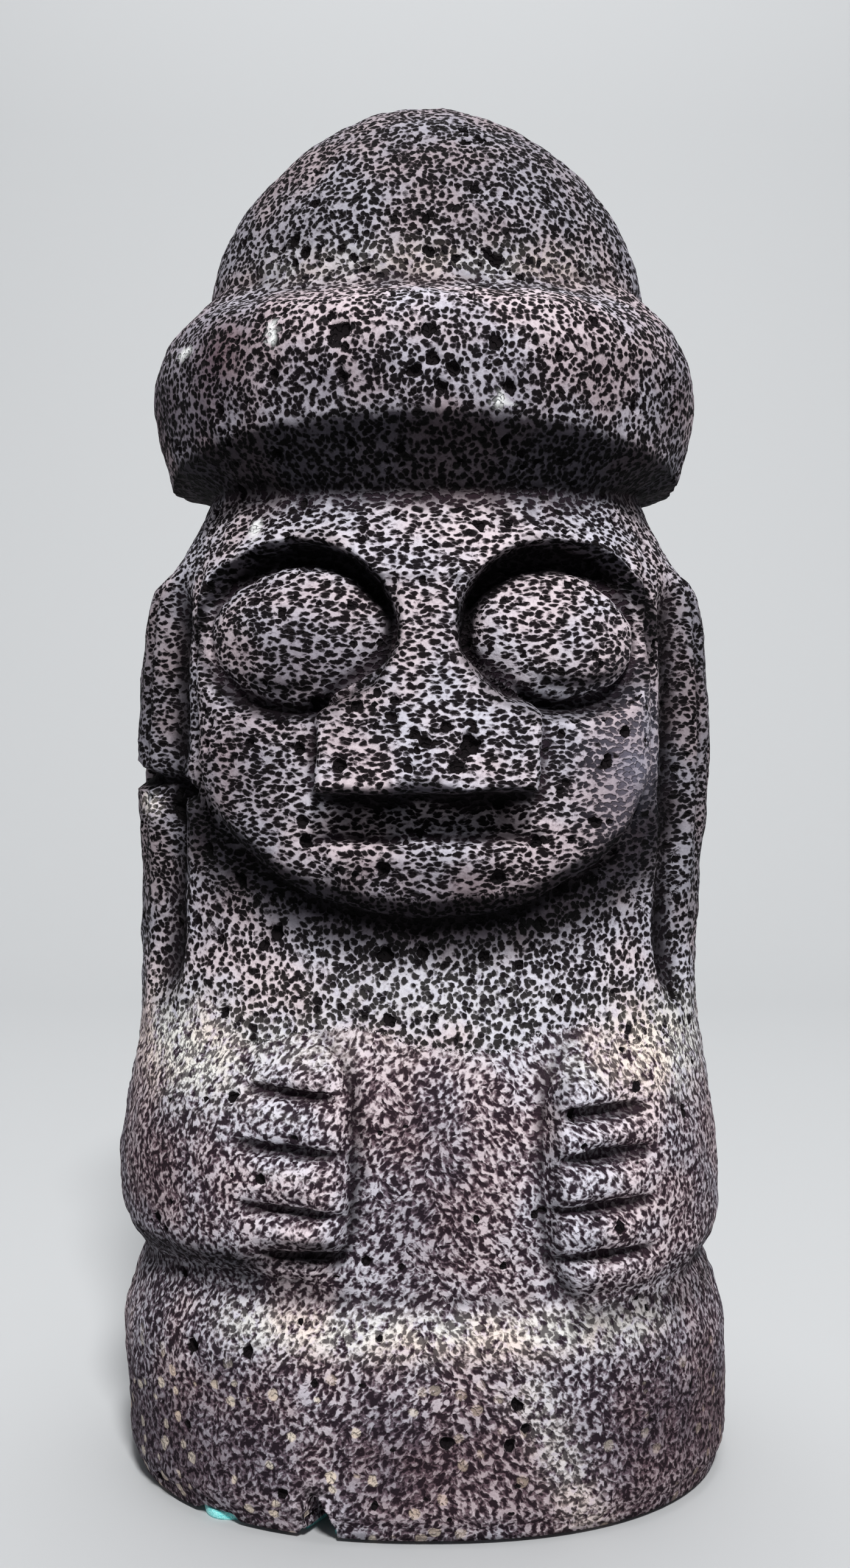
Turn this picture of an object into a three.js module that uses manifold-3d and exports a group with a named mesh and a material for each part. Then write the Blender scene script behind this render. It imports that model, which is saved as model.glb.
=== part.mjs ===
// A dol hareubang, the stone guardian figure of Jeju island, in its souvenir size: one block of vesicular
// basalt, roughed out round, then carved with a domed hat, bulging eyes, a broad nose and two hands laid on
// the belly. A thin felt pad is glued under it. Millimetres, +Z up, the face towards -Y, +X to its left hand.
// The origin is on the surface that the pad stands on, under the middle of the block.
import * as THREE from "three";
import { mergeVertices } from "three/addons/utils/BufferGeometryUtils.js";
import Module from "manifold-3d";

const { clamp, degToRad, lerp, smoothstep } = THREE.MathUtils;

// Driving sizes
const stoneHeight = 200;
const stoneWidth = 91;
const stoneDepth = 80.7; // of the lower block, as the width is; the brim and nose stand out further in front
const feltThickness = 1.2;
const feltInset = 3.6;
const feltShift = -1.2; // the pad is glued a little off centre
const glueGap = 0.3;
const discRadius = 20; // the cutting disc that the finger lines are sawn with
const discThickness = 1.4;

// Fineness of the faceted surface
const columns = 52;
const frontCrowding = 0.52;
const crownRows = 9;
const roundness = 24; // sides of the turned forms, the eyes

const stoneBottom = feltThickness + glueGap;

// The carving is drawn in units of about 1/200 of the height, then stretched to the stone's three sizes.
// The roughed-out block by level: half its width, its reach to the front and back, how square it is
const block = [
  { z: 0, wide: 42.0, front: 40.2, back: 33.5, square: 2.25 },
  { z: 30, wide: 41.8, front: 40.4, back: 34.0, square: 2.5 },
  { z: 44, wide: 42.0, front: 42.0, back: 35.0, square: 2.5 },
  { z: 58, wide: 42.0, front: 41.0, back: 35.5, square: 2.4 },
  { z: 67, wide: 42.0, front: 38.2, back: 35.5, square: 2.4 },
  { z: 77, wide: 42.0, front: 35.6, back: 35.0, square: 2.35 },
  { z: 96, wide: 42.4, front: 35.6, back: 34.5, square: 2.35 },
  { z: 119, wide: 41.6, front: 36.0, back: 34.0, square: 2.3 },
  { z: 126, wide: 40.6, front: 36.4, back: 33.5, square: 2.3 },
  { z: 133, wide: 36.2, front: 36.8, back: 33.0, square: 2.25 },
  { z: 139, wide: 33.0, front: 36.8, back: 32.5, square: 2.2 },
  { z: 168, wide: 33.0, front: 30.5, back: 30.0, square: 2.1 },
];

// One measure of the block at height z, on a smooth curve through the levels
function blockSize(name, z) {
  const last = block.length - 1;
  const k = clamp(block.findIndex((level) => level.z > z), 1, last);
  const [low, high] = z >= block[last].z ? [last - 1, last] : [k - 1, k];
  const t = clamp((z - block[low].z) / (block[high].z - block[low].z), 0, 1);
  const slope = (i) => {
    const before = block[Math.max(i - 1, 0)];
    const after = block[Math.min(i + 1, last)];
    return ((after[name] - before[name]) / (after.z - before.z)) * (block[high].z - block[low].z);
  };
  const drop = block[high][name] - block[low][name];
  const lean = slope(low) * t * (1 - t) ** 2 - slope(high) * t * t * (1 - t);
  return block[low][name] + drop * t * t * (3 - 2 * t) + lean;
}

// Distance from the axis to a rounded-square outline, in the direction that turns away from the front
function sectionReach(turn, wide, front, back, square) {
  const side = Math.abs(Math.sin(turn)) / wide;
  const along = Math.abs(Math.cos(turn)) / (Math.cos(turn) > 0 ? front : back);
  return (side ** square + along ** square) ** (-1 / square);
}

// 1 towards the front, falling to 0 at the sides and behind
const facing = (turn) => Math.max(Math.cos(turn), 0) ** 2;

// A rounded edge: 0 at the outline, rising like a quarter circle to 1 at a distance inside it
const rolled = (inside, width) => Math.sqrt(1 - (1 - clamp(inside / width, 0, 1)) ** 2);

// A soft bump that is 1 at its middle and 0 past its edge
const bump = (offset, halfWidth) => Math.max(1 - (offset / halfWidth) ** 2, 0) ** 2;

const crown = { seat: 168, height: 32, pointed: 1.8 };
const brim = { wide: 40.5, front: 44.6, back: 38.6, square: 2.15, fullest: 156, top: 170, lowerCurve: 24.6 };
const brimUnder = { innerSide: 141, innerFront: 138.4, edgeSide: 143.2, edgeFront: 148.4 };

// The crown narrows to the top as a rounded cone
function crownShare(z) {
  const up = clamp((z - crown.seat) / crown.height, 0, 1);
  return (1 - up ** crown.pointed) ** (1 / crown.pointed);
}

// How far the brim stands out at this height, as a share of its full reach.
// Its underside slopes, most in front.
function brimShare(turn, z) {
  if (z >= brim.top) return 0;
  const above = (z - brim.fullest) / (brim.top - brim.fullest);
  const below = (brim.fullest - z) / brim.lowerCurve;
  const bulge = 1 - Math.max(above, below) ** 2;
  const inner = lerp(brimUnder.innerSide, brimUnder.innerFront, facing(turn));
  const edge = lerp(brimUnder.edgeSide, brimUnder.edgeFront, facing(turn));
  return clamp(Math.min(bulge, (z - inner) / (edge - inner)), 0, 1);
}

// The lower block, a robe's hem: it stands out under the hands,
// with a crisp ledge in front and a round one beside
const hem = { top: 30.6, raise: 3.5, sideRound: 12, frontRound: 5.4, arris: 1.6, arrisHeight: 3.6 };
function hemRaise(turn, z) {
  const round = lerp(hem.sideRound, hem.frontRound, facing(turn));
  const up = clamp((z - (hem.top - round)) / round, 0, 1);
  const worn = hem.arris * (1 - clamp(z / hem.arrisHeight, 0, 1)) ** 2;
  return hem.raise * (1 - up ** 1.5) - worn;
}

// An arm and its hand are one raised form, from behind the elbow round to the fingertips.
// tips is where the fingertips end.
const hands = {
  right: {
    side: -1, tips: 9.4, top: 67, bottom: 33.0,
    lines: [[-17, 58.5, -5, 14], [-17.2, 51.1, -5, 16], [-17.4, 43.1, -4, 15], [-16.2, 36.8, -2, 11]],
  },
  left: {
    side: 1, tips: 17.6, top: 66, bottom: 28.8,
    lines: [[25.6, 55.6, 1, 12.5], [25.4, 49.8, 1, 13], [25, 43, 1, 14.5], [25.2, 36.3, 1, 15]],
  },
};
const arm = {
  raise: 3.0, handRaise: 3.4, elbow: 38, bottom: 30.6, shoulder: 69,
  fade: [100, 135], tipRoll: 4.5, corner: 6,
};
function armRaise(turn, x, z, hand) {
  const away = Math.abs((turn * 180) / Math.PI);
  const front = facing(turn);
  const over = smoothstep(arm.shoulder - z, 0, lerp(26, 8, front));
  const bottom = lerp(arm.bottom, hand.bottom, smoothstep(front, 0.1, 0.5));
  const under = 1 - clamp((bottom + 7 - z) / 7, 0, 1) ** 2;
  const middle = (hand.top + hand.bottom) / 2;
  const bow = arm.corner * Math.min(Math.abs(z - middle) / (hand.top - middle), 1) ** 4;
  const inside = hand.side * x - hand.tips - bow;
  const behind = 1 - smoothstep(away, ...arm.fade);
  return lerp(arm.raise, arm.handRaise, front) * over * under * behind * rolled(inside, arm.tipRoll);
}

const face = { wide: 32.6, middle: 104, chinDrop: 23, chinX: 1.4, raise: 4.8, roll: 4.5, forehead: 138 };

// How far a place on the face lies inside its outline, a U that is closed by the chin
function insideFace(x, z) {
  const drop = Math.max(face.middle - z, 0) / face.chinDrop;
  const across = (x - face.chinX * drop) / face.wide;
  return (1 - Math.hypot(across, drop)) * face.chinDrop;
}

const eyes = [{ x: -17.8, z: 119.4, stretch: 1.12 }, { x: 18.4, z: 119.4, stretch: 1.03 }];
const eye = { wide: 12.0, high: 8.9, thick: 6.2, sunk: 3.4 };
const socket = { wide: 14.2, high: 12.0, thick: 6.0, lift: 0.5, sunk: 1.0 };

const nose = {
  bridge: 4.1, bridgeTop: 128, flareTop: 118.5, wing: 13.6, wingTop: 109.2, bottom: 98.2,
  rise: [1.0, 6.2], roll: 3,
};
function noseRelief(x, z) {
  const flare = smoothstep(nose.flareTop - z, 0, nose.flareTop - nose.wingTop);
  const half = lerp(nose.bridge, nose.wing, flare);
  const rise = lerp(...nose.rise, clamp((nose.bridgeTop - z) / (nose.bridgeTop - nose.bottom), 0, 1));
  const ends = smoothstep(z, nose.bottom - 0.5, nose.bottom + 0.5) * smoothstep(nose.bridgeTop + 2 - z, 0, 4);
  return rise * ends * rolled(half + 1 - Math.abs(x), nose.roll);
}

const mouth = { half: 14.5, top: 98.2, line: 92.2, depth: 2.4, lip: 1.0, lipLine: 90.2 };
function mouthRelief(x, z) {
  const across = smoothstep(mouth.half - Math.abs(x), 0, 3);
  const up = clamp((z - mouth.line) / (mouth.top - mouth.line), 0, 1);
  const slope = lerp(0.4, 1, up); // deepest under the nose
  const within = smoothstep(z, mouth.line - 0.6, mouth.line + 0.4) * smoothstep(mouth.top + 1 - z, 0, 1.5);
  const recess = slope * within;
  return across * (mouth.lip * bump(z - mouth.lipLine, 4) - mouth.depth * recess);
}

const brow = { line: 127, raise: 1.3, half: 30, fade: [132, 138] };
const browRelief = (x, z) => {
  const up = smoothstep(z, brow.line - 0.8, brow.line + 0.8) * (1 - smoothstep(z, ...brow.fade));
  return brow.raise * up * smoothstep(brow.half - Math.abs(x), 0, 10);
};

const cheek = { x: 23, z: 102, wide: 12, high: 12, raise: 0.9 };
function cheekRelief(x, z) {
  return cheek.raise * bump(Math.abs(x) - cheek.x, cheek.wide) * bump(z - cheek.z, cheek.high);
}

function faceRelief(x, z) {
  const edge = rolled(insideFace(x, z), face.roll);
  const plate = face.raise * (1 - smoothstep(z, 122, face.forehead));
  const features = noseRelief(x, z) + mouthRelief(x, z) + browRelief(x, z) + cheekRelief(x, z);
  return edge * (plate + features);
}

// Long flat ears at the sides of the head, each behind an upright groove that runs on down to the shoulder
const ear = {
  groove: 60, grooveWidth: 8, grooveDepth: 2.6, top: 130, foot: 66, lobe: 97,
  line: 70, lineDepth: 0.9, plate: 0.8,
};
function earRelief(turn, z) {
  const away = Math.abs((turn * 180) / Math.PI);
  const run = smoothstep(z, ear.foot, ear.foot + 8) * smoothstep(ear.top - z, 0, 8);
  const groove = -ear.grooveDepth * bump(away - ear.groove, ear.grooveWidth) * run;
  const upper = smoothstep(z, ear.lobe - 1, ear.lobe + 1) * smoothstep(ear.top - z, 0, 4);
  const plate = ear.plate * smoothstep(away, 62, 66) * (1 - smoothstep(away, 84, 98));
  return groove + upper * (plate - ear.lineDepth * bump(away - ear.line, 3.5));
}

// The block isn't quite upright: its middle sways a little from side to side
const sway = [[0, 0.5], [45, -0.9], [75, -0.9], [110, 0], [160, -0.1], [185, 0.5], [200, 0.5]];
function swayAt(z) {
  const k = clamp(sway.findIndex(([height]) => height > z), 1, sway.length - 1);
  const [[z0, x0], [z1, x1]] = [sway[k - 1], sway[k]];
  return lerp(x0, x1, clamp((z - z0) / (z1 - z0), 0, 1));
}

// The block before carving, at a turn from the front and a height, and the x that a place on it has
function groundReach(turn, z) {
  const size = (name) => blockSize(name, Math.min(z, crown.seat));
  return sectionReach(turn, size("wide"), size("front"), size("back"), size("square"));
}
const faceX = (turn, z) => (groundReach(turn, z) + 3) * Math.sin(turn);

// The carved surface as drawn: the distance from the axis at a turn from the front and a height
function carvedReach(turn, z) {
  const ground = groundReach(turn, z);
  const brimReach = sectionReach(turn, brim.wide, brim.front, brim.back, brim.square);
  const blank = ground + (brimReach - ground) * brimShare(turn, z);
  const inner = lerp(brimUnder.innerSide, brimUnder.innerFront, facing(turn));
  if (z > inner) return blank * crownShare(z);
  const x = faceX(turn, z);
  const hand = x < 0 ? hands.right : hands.left;
  let relief = hemRaise(turn, z) + armRaise(turn, x, z, hand) + earRelief(turn, z);
  if (Math.cos(turn) > 0) relief += faceRelief(x, z);
  return blank + relief;
}

// The size of the drawn figure, and how far it is stretched each way to become the stone
const drawn = {
  width: 2 * (block[0].wide + hem.raise),
  depth: block[0].front + block[0].back + 2 * hem.raise,
  height: crown.seat + crown.height,
};
const stretch = new THREE.Vector3(
  stoneWidth / drawn.width, stoneDepth / drawn.depth, stoneHeight / drawn.height,
);

// A place on the stone, in millimetres
function stonePoint(turn, z) {
  const reach = carvedReach(turn, z);
  const place = new THREE.Vector3(reach * Math.sin(turn) + swayAt(z), -reach * Math.cos(turn), z);
  return place.multiply(stretch).setZ(place.z + stoneBottom);
}

// Lines on the carving that rows of the surface run along, from the bottom up, each with the number of rows from
// the line below it. A curved line sweeps up from the middle of the face to its sides.
const level = (z) => () => z;
const swept = (middle, side, flat) => (x) => {
  const out = clamp((Math.abs(x) - flat) / (face.wide + 0.6 - flat), 0, 1);
  return side - (side - middle) * Math.sqrt(1 - out ** 2);
};
const guides = [
  { height: level(0), rows: 0 },
  { height: level(2.4), rows: 1 },
  { height: level(24), rows: 4 },
  { height: level(31), rows: 4 },
  { height: level(69), rows: 15 },
  { height: swept(80.2, 103.2, 0), rows: 4 },
  { height: swept(84.6, 106.2, 0), rows: 3 },
  { height: swept(91.4, 108.2, 17), rows: 3 },
  { height: swept(92.8, 109, 17), rows: 1 },
  { height: swept(97.8, 110.6, 15), rows: 2 },
  { height: swept(98.8, 111.4, 15), rows: 1 },
  { height: swept(109, 116, 15), rows: 4 },
  { height: level(126.2), rows: 5 },
  { height: level(127.8), rows: 1 },
  { height: level(133), rows: 2 },
  { height: (x, turn) => lerp(brimUnder.innerSide, brimUnder.innerFront, facing(turn)), rows: 2 },
  { height: (x, turn) => lerp(brimUnder.edgeSide, brimUnder.edgeFront, facing(turn)), rows: 2 },
  { height: level(168.8), rows: 7 },
  { height: level(brim.top), rows: 1 },
];

// The heights of all the rows at one turn from the front
function rowHeights(turn) {
  const x = faceX(turn, face.middle);
  const heights = [0];
  for (const { height, rows } of guides) {
    const from = heights[heights.length - 1];
    const to = height(x, turn);
    for (let k = 1; k <= rows; k++) heights.push(lerp(from, to, k / rows));
  }
  const from = heights[heights.length - 1];
  for (let k = 1; k < crownRows; k++) {
    heights.push(lerp(from, drawn.height, Math.sin(((k / crownRows) * Math.PI) / 2)));
  }
  return heights;
}

const wasm = await Module();
wasm.setup();

// A closed solid from a geometry, and a geometry from a solid
function solidOf(geometry) {
  const bare = geometry.clone();
  for (const name of ["normal", "uv"]) bare.deleteAttribute(name);
  const merged = mergeVertices(bare, 1e-4);
  const vertProperties = merged.attributes.position.array;
  const triVerts = new Uint32Array(merged.index.array);
  return new wasm.Manifold(new wasm.Mesh({ numProp: 3, vertProperties, triVerts }));
}
function geometryOf(solid) {
  const { vertProperties, triVerts } = solid.getMesh();
  const geometry = new THREE.BufferGeometry();
  geometry.setAttribute("position", new THREE.BufferAttribute(vertProperties, 3));
  geometry.setIndex(new THREE.BufferAttribute(triVerts, 1));
  geometry.computeVertexNormals();
  return geometry;
}

// The block as it comes off the lathe, with every point then moved to its place on the carving
function carvedBlock() {
  const rowCount = rowHeights(0).length;
  const profile = [new THREE.Vector2(0, 0)];
  for (let row = 0; row < rowCount; row++) profile.push(new THREE.Vector2(1, row));
  profile.push(new THREE.Vector2(0, rowCount));
  const lathe = new THREE.LatheGeometry(profile, columns);
  const place = lathe.attributes.position;
  for (let column = 0; column <= columns; column++) {
    const share = (2 * column) / columns - 1;
    const turn = Math.PI * share - frontCrowding * Math.sin(Math.PI * share);
    const points = rowHeights(turn).map((z) => stonePoint(turn, z));
    points.unshift(new THREE.Vector3(swayAt(0), 0, stoneBottom));
    points.push(new THREE.Vector3(swayAt(drawn.height), 0, stoneHeight + stoneBottom));
    points.forEach((point, row) => place.setXYZ(column * profile.length + row, point.x, point.y, point.z));
  }
  return solidOf(lathe);
}

// The turn at which the carved surface has this x, on the front of the stone
function turnAt(x, z) {
  let turn = 0;
  for (let k = 0; k < 12; k++) turn = Math.asin(clamp((x - swayAt(z)) / carvedReach(turn, z), -0.99, 0.99));
  return turn;
}

// A groove sawn across the fingers by a disc that is pushed in until its cut has this length
function sawCut([x, z, tilt], length) {
  const turn = turnAt(x, z);
  const step = 0.06;
  const across = stonePoint(turn + step, z).sub(stonePoint(turn - step, z));
  const outward = new THREE.Vector3(across.y, -across.x, 0).normalize();
  const depth = discRadius - Math.sqrt(discRadius ** 2 - (length / 2) ** 2);
  const disc = new THREE.CylinderGeometry(discRadius, discRadius, discThickness, 36);
  disc.rotateX(Math.PI / 2);
  disc.rotateY(-degToRad(tilt));
  const middle = stonePoint(turn, z).addScaledVector(outward, discRadius - depth);
  return solidOf(disc.translate(middle.x, middle.y, middle.z));
}

// A chip broken out of an edge: the corner of a turned block, sunk in at a place of the drawn figure
const chips = [
  { at: [-13.4, -44.5, -1.2], size: [5.4, 9, 5.4], turn: [0, 38, 0] },
  { at: [-40.5, -20, 98.5], size: [9, 13, 7], turn: [10, -38, 28] },
];
function chipCut({ at, size, turn }) {
  const corner = new THREE.BoxGeometry(...size);
  const [x, y, z] = at;
  const pose = new THREE.Matrix4().makeRotationFromEuler(new THREE.Euler(...turn.map(degToRad)));
  pose.setPosition(new THREE.Vector3(x, y, z).multiply(stretch).add(new THREE.Vector3(0, 0, stoneBottom)));
  return solidOf(corner.applyMatrix4(pose));
}

// The felt pad follows the outline of the stone's underside at an even distance inside it
function feltGeometry() {
  const outline = [];
  for (let k = 0; k < columns; k++) {
    const point = stonePoint((2 * Math.PI * k) / columns, 0);
    const flat = new THREE.Vector2(point.x, point.y);
    outline.push(flat.multiplyScalar(1 - feltInset / flat.length()).add(new THREE.Vector2(feltShift, 0)));
  }
  return new THREE.ExtrudeGeometry(new THREE.Shape(outline), { depth: feltThickness, bevelEnabled: false });
}

// A flattened ball set into the face at an eye, turned with the face there
function eyeBall(at, { wide, high, thick, sunk, lift = 0 }, stretch = 1) {
  const turn = turnAt(at.x, at.z);
  const ball = new THREE.SphereGeometry(1, roundness, roundness / 2).rotateX(Math.PI / 2);
  ball.scale(wide * stretch, thick, high * stretch);
  const middle = stonePoint(turn, at.z + lift);
  const inward = new THREE.Vector3(-Math.sin(turn), Math.cos(turn), 0);
  middle.addScaledVector(inward, sunk);
  ball.rotateZ(turn).translate(middle.x, middle.y, middle.z);
  return solidOf(ball);
}

let stone = carvedBlock();
for (const at of eyes) {
  stone = stone.subtract(eyeBall(at, socket)).add(eyeBall(at, eye, at.stretch));
}
for (const hand of Object.values(hands)) {
  for (const line of hand.lines) stone = stone.subtract(sawCut(line, line[3]));
}
for (const chip of chips) stone = stone.subtract(chipCut(chip));

const basalt = new THREE.MeshStandardMaterial({ name: "basalt", color: 0x5c585b, roughness: 0.95 });
const felt = new THREE.MeshStandardMaterial({ name: "felt", color: 0x3fb9b4, roughness: 1 });

function piece(name, geometry, material) {
  const mesh = new THREE.Mesh(geometry, material);
  mesh.name = name;
  return mesh;
}

const statue = new THREE.Group();
statue.name = "dol_hareubang";
statue.add(piece("stone_figure", geometryOf(stone), basalt));
statue.add(piece("felt_pad", geometryOf(solidOf(feltGeometry())), felt));
export default statue;
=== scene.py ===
import math
import bpy
import numpy as np
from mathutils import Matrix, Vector
from mathutils.kdtree import KDTree


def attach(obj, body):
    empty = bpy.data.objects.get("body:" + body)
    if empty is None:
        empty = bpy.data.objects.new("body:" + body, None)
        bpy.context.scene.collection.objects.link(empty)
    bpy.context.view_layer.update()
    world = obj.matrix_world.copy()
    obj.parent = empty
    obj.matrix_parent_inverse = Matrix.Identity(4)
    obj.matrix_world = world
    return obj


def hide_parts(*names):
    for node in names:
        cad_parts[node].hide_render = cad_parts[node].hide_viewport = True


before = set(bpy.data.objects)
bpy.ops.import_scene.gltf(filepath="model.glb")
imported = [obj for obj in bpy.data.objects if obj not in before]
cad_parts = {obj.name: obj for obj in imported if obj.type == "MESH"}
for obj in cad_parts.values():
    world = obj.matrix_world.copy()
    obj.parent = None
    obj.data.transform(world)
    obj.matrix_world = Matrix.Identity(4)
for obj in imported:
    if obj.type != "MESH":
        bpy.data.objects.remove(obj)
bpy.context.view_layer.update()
mm = 0.001

# The block before carving
# All carving is in mm above the stone's own bottom; the pad lifts it by stoneBottom.
block = {
    "height": 200.0,
    "stoneBottom": 1.5,
    "lip": 0.8,
    "lipInset": 2.0,
    # height, half width, reach to the front, reach to the back, how square
    "levels": np.array([
        (0, 42.0, 40.2, 33.5, 2.25), (30, 41.8, 40.4, 34.0, 2.5), (44, 42.0, 42.0, 35.0, 2.5),
        (58, 42.0, 41.0, 35.5, 2.4), (67, 42.0, 38.2, 35.5, 2.4), (77, 42.0, 35.6, 35.0, 2.35),
        (96, 42.4, 35.6, 34.5, 2.35), (119, 41.6, 36.0, 34.0, 2.3), (126, 40.6, 36.4, 33.5, 2.3),
        (133, 36.2, 36.8, 33.0, 2.25), (139, 33.0, 36.8, 32.5, 2.2), (168, 33.0, 30.5, 30.0, 2.1),
    ]),
    "swayHeights": (0, 45, 75, 110, 160, 185, 200),
    "sway": (0.5, -0.9, -0.9, 0, -0.1, 0.5, 0.5),
}


def smooth(x, low, high):
    t = np.clip((x - low) / (high - low), 0, 1)
    return t * t * (3 - 2 * t)


def bump(offset, half):
    return np.maximum(1 - (offset / half) ** 2, 0) ** 2


def rolled(inside, width):
    return np.sqrt(1 - (1 - np.clip(inside / width, 0, 1)) ** 2)


def mix(a, b, t):
    return a + (b - a) * t


def valueNoise(points, size, seed):
    cell = points / size
    base = np.floor(cell).astype(np.int64)
    t = cell - base
    t = t * t * (3 - 2 * t)
    total = np.zeros(points.shape[:-1])
    for corner in range(8):
        step = np.array([corner & 1, corner >> 1 & 1, corner >> 2 & 1])
        key = base + step
        code = key[..., 0] * 73856093 ^ key[..., 1] * 19349663 ^ key[..., 2] * 83492791 ^ seed * 2654435761
        code = ((code ^ (code >> 13)) & 0xFFFFFFFF) * 1274126177 & 0xFFFFFFFF
        code = (code ^ (code >> 16)) & 0xFFFF
        weight = np.prod(np.where(step, t, 1 - t), -1)
        total += weight * (code / 65535.0)
    return total * 2 - 1


def facing(turn):
    return np.maximum(np.cos(turn), 0) ** 2


def blockSize(column, z):
    heights, sizes = block["levels"][:, 0], block["levels"][:, column]
    slopes = np.gradient(sizes, heights)
    z = np.clip(z, 0, heights[-1])
    k = np.clip(np.searchsorted(heights, z, side="right") - 1, 0, len(heights) - 2)
    gap = heights[k + 1] - heights[k]
    t = (z - heights[k]) / gap
    drop = sizes[k + 1] - sizes[k]
    lean = slopes[k] * gap * t * (1 - t) ** 2 - slopes[k + 1] * gap * t * t * (1 - t)
    return sizes[k] + drop * t * t * (3 - 2 * t) + lean


def sectionReach(turn, wide, front, back, square):
    along = np.where(np.cos(turn) > 0, front, back)
    across = np.abs(np.sin(turn)) / wide
    outward = np.abs(np.cos(turn)) / along
    return (across ** square + outward ** square) ** (-1 / square)


def groundReach(turn, z):
    return sectionReach(turn, *(blockSize(column, z) for column in (1, 2, 3, 4)))


# Hat
hat = {
    "seat": 168.0, "crownHeight": 32.0, "crownPointed": 1.8,
    "brimWide": 40.5, "brimFront": 44.6, "brimBack": 38.6, "brimSquare": 2.15,
    "fullest": 156.0, "brimTop": 170.0, "lowerCurve": 24.6, "frontFillet": 0.45,
    "innerSide": 141.0, "innerFront": 138.4, "edgeSide": 143.2, "edgeFront": 148.4,
}


def brimLines(turn):
    inner = mix(hat["innerSide"], hat["innerFront"], facing(turn))
    edge = mix(hat["edgeSide"], hat["edgeFront"], facing(turn))
    return inner, edge


def brimShare(turn, z):
    above = (z - hat["fullest"]) / (hat["brimTop"] - hat["fullest"])
    below = (hat["fullest"] - z) / hat["lowerCurve"]
    bulge = 1 - np.maximum(above, below) ** 2
    inner, edge = brimLines(turn)
    # in front the brim runs softly into the crown
    soft = mix(1, smooth(1 - above, 0, hat["frontFillet"]), facing(turn))
    share = np.clip(np.minimum(bulge * soft, (z - inner) / (edge - inner)), 0, 1)
    return np.where(z >= hat["brimTop"], 0, share)


def crownShare(z):
    up = np.clip((z - hat["seat"]) / hat["crownHeight"], 0, 1)
    return (1 - up ** hat["crownPointed"]) ** (1 / hat["crownPointed"])


# Lower block, arms and hands
hem = {"top": 30.6, "raise": 3.5, "sideRound": 12.0, "frontRound": 6.2, "arris": 1.6, "arrisHeight": 3.6}


def hemRaise(turn, z):
    around = mix(hem["sideRound"], hem["frontRound"], facing(turn))
    up = np.clip((z - (hem["top"] - around)) / around, 0, 1)
    worn = hem["arris"] * (1 - np.clip(z / hem["arrisHeight"], 0, 1)) ** 2
    return hem["raise"] * (1 - up ** 1.5) - worn


arms = {
    "raise": 3.0, "handRaise": 3.4, "shoulder": 69.0, "fade": (100.0, 135.0),
    "tipRoll": 4.5, "corner": 6.0, "valley": 1.4, "lineWidth": 1.5, "lineDepth": 1.7,
    # side of the body, where the fingertips end, top and bottom of the hand, bottom of the elbow,
    # and the finger lines as middle, height, tilt in degrees and length
    "hands": (
        {"side": -1, "tips": 9.4, "top": 67.0, "bottom": 33.0, "elbow": 32.2,
         "lines": ((-17.0, 58.5, -5, 14), (-17.2, 51.1, -5, 16), (-17.4, 43.1, -4, 15),
                   (-16.2, 36.8, -2, 11))},
        {"side": 1, "tips": 17.6, "top": 66.0, "bottom": 28.8, "elbow": 30.6,
         "lines": ((25.6, 55.6, 1, 12.5), (25.4, 49.8, 1, 13), (25.0, 43.0, 1, 14.5), (25.2, 36.3, 1, 15))},
    ),
}


def armRaise(turn, x, z, hand):
    away = np.degrees(np.abs(turn))
    front = facing(turn)
    over = smooth(arms["shoulder"] - z, 0, mix(26, 8, front))
    bottom = mix(hand["elbow"], hand["bottom"], smooth(front, 0.1, 0.5))
    under = 1 - np.clip((bottom + 7 - z) / 7, 0, 1) ** 2
    middle = (hand["top"] + hand["bottom"]) / 2
    bow = arms["corner"] * np.minimum(np.abs(z - middle) / (hand["top"] - middle), 1) ** 4
    inside = hand["side"] * x - hand["tips"] - bow
    behind = 1 - smooth(away, *arms["fade"])
    rise = mix(arms["raise"], arms["handRaise"], front)
    return rise * over * under * behind * rolled(inside, arms["tipRoll"])


def fingerLines(x, z, hand):
    depth = np.zeros_like(x)
    for middle, height, tilt, length in hand["lines"]:
        off = z - height - (x - middle) * math.tan(math.radians(tilt))
        along = (x - middle) / (length / 2)
        depth = depth - arms["valley"] * bump(x - middle, 9) * bump(off, 2.6)
        sawn = np.clip(1.25 - np.abs(off) / (arms["lineWidth"] / 2), 0, 1)
        depth = depth - arms["lineDepth"] * sawn * np.maximum(1 - along ** 2, 0) ** 0.5
    return depth


# Face and ears
face = {
    "wide": 32.6, "middle": 104.0, "chinDrop": 23.0, "chinX": 1.4, "raise": 4.8, "roll": 4.5,
    "forehead": 138.0,
    # side and height of each eye, and how much larger than the common eye it is
    "eyes": ((-17.8, 119.4, 1.12), (18.4, 119.4, 1.03)),
    "eyeWide": 12.0, "eyeHigh": 8.9, "eyeBulge": 6.4,
    "socketWide": 14.6, "socketHigh": 12.4, "socketDepth": 5.6, "socketLift": 0.7,
    "bridge": 4.1, "bridgeTop": 128.0, "flareTop": 118.5, "wing": 13.6, "wingTop": 109.2,
    "noseBottom": 98.2, "noseRise": (1.0, 6.2), "noseRoll": 2.0,
    "mouthX": 0.4, "mouthHalf": 16.5, "mouthTop": 98.2, "mouthLine": 92.2, "mouthDepth": 2.2,
    "slitDepth": 0.9, "mouthEnds": 3.5, "lip": 1.3, "lipLine": 90.2,
    "browLine": 127.0, "browRaise": 1.3, "browHalf": 30.0, "browFade": (132.0, 138.0),
}
ears = {
    "groove": 60.0, "grooveWidth": 8.0, "grooveDepth": 2.6, "top": 130.5, "foot": 66.0, "lobe": 97.0,
    "line": 70.0, "lineDepth": 0.9, "plate": 0.8,
}


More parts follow.
